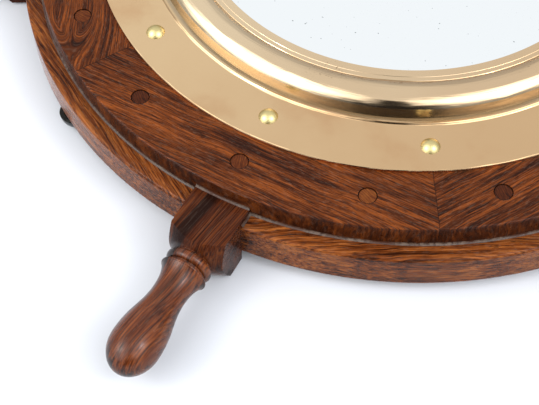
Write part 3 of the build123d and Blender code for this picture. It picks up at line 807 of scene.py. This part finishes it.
# %% Pins
PIN_HEAD_R = 4.9 * MM
PIN_HEAD = 2.9 * MM          # height of the head
PIN_SHANK_R = 1.6 * MM
pin_low, pin_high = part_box("ring_pins")
pin_seat = pin_high[2] - PIN_HEAD
ball_r = (PIN_HEAD_R ** 2 + PIN_HEAD ** 2) / (2 * PIN_HEAD)
edge_angle = math.degrees(math.asin((ball_r - PIN_HEAD) / ball_r))
cap = arc((0, pin_high[2] - ball_r), ball_r, 86, edge_angle, 14)
pin_outline = np.vstack([cap, [(PIN_SHANK_R, pin_seat), (PIN_SHANK_R, pin_low[2])]])
pin_circle = pin_high[1] - PIN_HEAD_R
pin_points, pin_quads, pin_caps = repeated(
    pin_outline, 40, ring_of_places(pin_circle, FIRST_SPOKE, 2 * SPOKES))
pins = make_piece("domed_pins", pin_points, [pin_quads, pin_caps], pin_brass)
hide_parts("ring_pins")
print("pins on a circle of", round(pin_circle, 4))

# %% [markdown]
# ## The line of old varnish
# Varnish, wax and rubbing dust collect in the corner between the facing's wall and the felloes,
# and dry to a pale broken line. It is a small hollow fillet: a section of five points carried
# along the corner, in past each spoke's block, round the wall and out past the next block.
# Another crosses the top of each block, where it stands a little above the felloes.

# %% Paths of the varnish
FILLET = 1.1 * MM
LEDGE = 8.6 * MM             # how far the line runs out beside a block
BLOCK_STAND = 3.7 * MM       # of a block above the felloes
FILLET_SECTION = np.array([(0.0, 0.0), (1.0, 0.0), (0.42, 0.16), (0.16, 0.42), (0.0, 1.0)]) * FILLET


def corner_path(spoke_direction):
    """Corner between two spokes as points, and the way out of the corner at each point.

    In by a straight line beside one block, round the wall at its radius, and out again.
    """
    side = math.asin(block_half / facing_r)
    step = math.radians(PITCH)
    turn = np.linspace(side, step - side, 90)
    wall = facing_r * np.stack([np.cos(turn), np.sin(turn)], axis=-1)
    out = wall / facing_r
    along = np.linspace(facing_r * math.cos(side) + LEDGE, facing_r * math.cos(side) + FILLET, 12)
    first = np.stack([along, np.full(12, block_half)], axis=-1)
    first_out = np.tile([0.0, 1.0], (12, 1))
    mirror = np.array([[math.cos(step), math.sin(step)], [math.sin(step), -math.cos(step)]])
    out[0] += first_out[-1]
    out[-1] = mirror @ out[0]
    flat = np.vstack([first, wall, (first @ mirror)[::-1]])
    normal = np.vstack([first_out, out, (first_out @ mirror)[::-1]])
    a = math.radians(spoke_direction)
    rotate = np.array([[math.cos(a), math.sin(a)], [-math.sin(a), math.cos(a)]])
    return flat @ rotate, normal @ rotate


def carried(path, normal, level, section):
    """Section (w, h) along a path: point = path + w * normal + h * up, rows by section point."""
    w, h = section[:, 0], section[:, 1]
    flat = path[None] + w[:, None, None] * normal[None]
    height = np.broadcast_to((level + h)[:, None, None], (*flat.shape[:2], 1))
    return np.concatenate([flat, height], axis=-1)


print("corner path:", len(corner_path(FIRST_SPOKE)[0]), "points")

# %% Varnish fillets
varnish, tree, shader = new_material("dried_varnish_line", IOR=1.45)
place = add(tree, "TexCoord", out="Object")
broken = band(tree, add(tree, "TexNoise", Vector=place, Scale=70.0, Detail=3.0), 0.40, 0.58)
grains = band(tree, add(tree, "TexNoise", Vector=place, Scale=500.0, Detail=3.0), 0.35, 0.68)
pale = add(tree, "Mix", data_type="RGBA", Factor=grains, A=linear("#35241B"), B=linear("#5E4D41"))
colour = add(tree, "Mix", data_type="RGBA", Factor=broken, A=linear("#3A1D0E"), B=pale)
connect(tree, shader, colour, add(tree, "Math", grains, 0.3, 0.35, operation="MULTIPLY_ADD"))


def varnish_line(number, path, normal, level):
    """Fillet along a path at a level, its two ends closed by fans."""
    grid = carried(path, normal, level, FILLET_SECTION)
    rows, columns = grid.shape[:2]
    ends = np.arange(rows) * columns
    middle = grid.mean(axis=0)
    points = np.vstack([grid.reshape(-1, 3), middle[0], middle[-1]])
    caps = np.vstack([fan_faces(ends, rows * columns),
                      fan_faces(ends[::-1] + columns - 1, rows * columns + 1)])
    make_piece(f"varnish_line_{number}", points, [grid_faces(rows, columns, True, False), caps],
               varnish, sharp_degrees=60)


for number in range(1, SPOKES + 1):
    varnish_line(number, *corner_path(FIRST_SPOKE + PITCH * (number - 1)), joint_z)
half_turn = math.degrees(math.asin(block_half / facing_r))
for number in range(1, SPOKES + 1):
    block_direction = FIRST_SPOKE + PITCH * number
    path = arc((0, 0), facing_r, block_direction - half_turn, block_direction + half_turn, 24)
    varnish_line(SPOKES + number, path, path / facing_r, joint_z + BLOCK_STAND)

# %% [markdown]
# ## Mirror
# Silvered float glass is seen as a clean metal: the 3 mm of glass over the silver only doubles
# a reflection slightly. What tells the eye that it is there is a few dust specks and the faint
# smears of a cloth, so both are in the roughness.

# %% Mirror
silver, tree, shader = new_material("silvered_glass", Metallic=1.0)
place = add(tree, "TexCoord", out="Object")
specks = band(tree, add(tree, "TexNoise", Vector=place, Scale=520.0, Detail=1.0), 0.76, 0.80)
smears = add(tree, "TexNoise", Vector=place, Scale=9.0, Detail=3.0)
smears = band(tree, smears, 0.45, 0.75, most=0.05, least=0.012)
colour = add(tree, "Mix", data_type="RGBA", Factor=specks, A=linear("#F6F9FA"), B=linear("#8F9496"))
connect(tree, shader, colour, add(tree, "Math", specks, 0.5, smears, operation="MULTIPLY_ADD"))
finish_node("mirror_glass", silver)
print("mirror finished")

# %% [markdown]
# ## Rubber and steel
# The feet and the gasket are black rubber, glossy where the mould was polished and dull where
# dust has settled. The screws are zinc plated, and the hanger is steel with a brass-tinted
# plate, rubbed bright where it turns. A plate shows as a fine spangle in colour and gloss.


# %% Rubber and plated steel
def rubber(name, colour, roughness):
    """Moulded black rubber: faint orange-peel from the mould, dull patches of dust."""
    made, tree, shader = new_material(name, IOR=1.5)
    place = add(tree, "TexCoord", out="Object")
    dust = band(tree, add(tree, "TexNoise", Vector=place, Scale=160.0, Detail=3.0), 0.5, 0.75, most=0.35)
    tint = add(tree, "Mix", data_type="RGBA", Factor=dust, A=linear(colour), B=linear("#3C3F3D"))
    gloss = add(tree, "Math", dust, 0.7, roughness, operation="MULTIPLY_ADD")
    connect(tree, shader, tint, gloss, add(tree, "TexNoise", Vector=place, Scale=1500.0), 0.1, 0.1 * MM)
    return made


def plated_steel(name, colour, worn, roughness):
    """Plated steel: fine spangle in the plate, and bare brighter metal in rubbed patches."""
    made, tree, shader = new_material(name, Metallic=1.0)
    place = add(tree, "TexCoord", out="Object")
    spangle = add(tree, "TexNoise", Vector=place, Scale=1400.0, Detail=3.0)
    rubbed = band(tree, add(tree, "TexNoise", Vector=place, Scale=180.0, Detail=3.0), 0.50, 0.62)
    dull = band(tree, spangle, 0.35, 0.65, most=0.35)
    tint = add(tree, "Mix", data_type="RGBA", Factor=dull, A=linear(colour), B=linear("#8C8A84"))
    tint = add(tree, "Mix", data_type="RGBA", Factor=rubbed, A=tint, B=linear(worn))
    gloss = add(tree, "Math", spangle, 0.2, roughness - 0.1, operation="MULTIPLY_ADD")
    connect(tree, shader, tint, gloss, spangle, 0.15, 0.1 * MM)
    return made


glossy_rubber = rubber("moulded_black_rubber", "#08100D", 0.16)
for foot_number in (1, 2, 3):
    finish_node(f"foot_{foot_number}", glossy_rubber)
finish_node("mirror_gasket", rubber("extruded_gasket_rubber", "#0E0F0F", 0.45))
zinc = plated_steel("zinc_plated_steel", "#C6C8C9", "#E2E3E3", 0.34)
for node in ("facing_screws", "backing_screws", "hanger_screws"):
    finish_node(node, zinc)
brass_plate = plated_steel("brass_tinted_plated_steel", "#CDB884", "#D9D4C4", 0.3)
for node in ("hanger_strap", "hanger_ring"):
    finish_node(node, brass_plate)
print("rubber on 4 nodes, plated steel on 5")

# %% [markdown]
# ## Backing board
# The back is closed with brown hardboard, pressed from wood fibres that show as short pale
# hairs lying every way. Two noises stretched in crossing directions are enough to suggest
# that, and the higher of the two is taken at each point, as the upper hair hides the lower.


# %% Hardboard
def hairs_lying(tree, place, turn):
    """Short hairs, 1 mm thick and 6 mm long, that lie at an angle in radians."""
    at = add(tree, "Mapping", Vector=place, Rotation=(0, 0, turn), Scale=(160.0, 900.0, 900.0))
    return add(tree, "TexNoise", Vector=at, Scale=1.0, Detail=3.0)


hardboard, tree, shader = new_material("pressed_hardboard", Specular_IOR_Level=0.3)
place = add(tree, "TexCoord", out="Object")
hairs = add(tree, "Math", hairs_lying(tree, place, 0.7), hairs_lying(tree, place, -0.9),
            operation="MAXIMUM")
patches = band(tree, add(tree, "TexNoise", Vector=place, Scale=14.0, Detail=4.0), 0.4, 0.65)
mottle = add(tree, "Mix", data_type="RGBA", Factor=patches, A=linear("#5D4029"), B=linear("#745336"))
pale_hairs = band(tree, hairs, 0.58, 0.70, most=0.6)
colour = add(tree, "Mix", data_type="RGBA", Factor=pale_hairs, A=mottle, B=linear("#A98760"))
gloss = add(tree, "Math", hairs, 0.25, 0.5, operation="MULTIPLY_ADD")
connect(tree, shader, colour, gloss, hairs, 0.3, 0.15 * MM)
finish_node("backing_board", hardboard)
print("backing board finished")
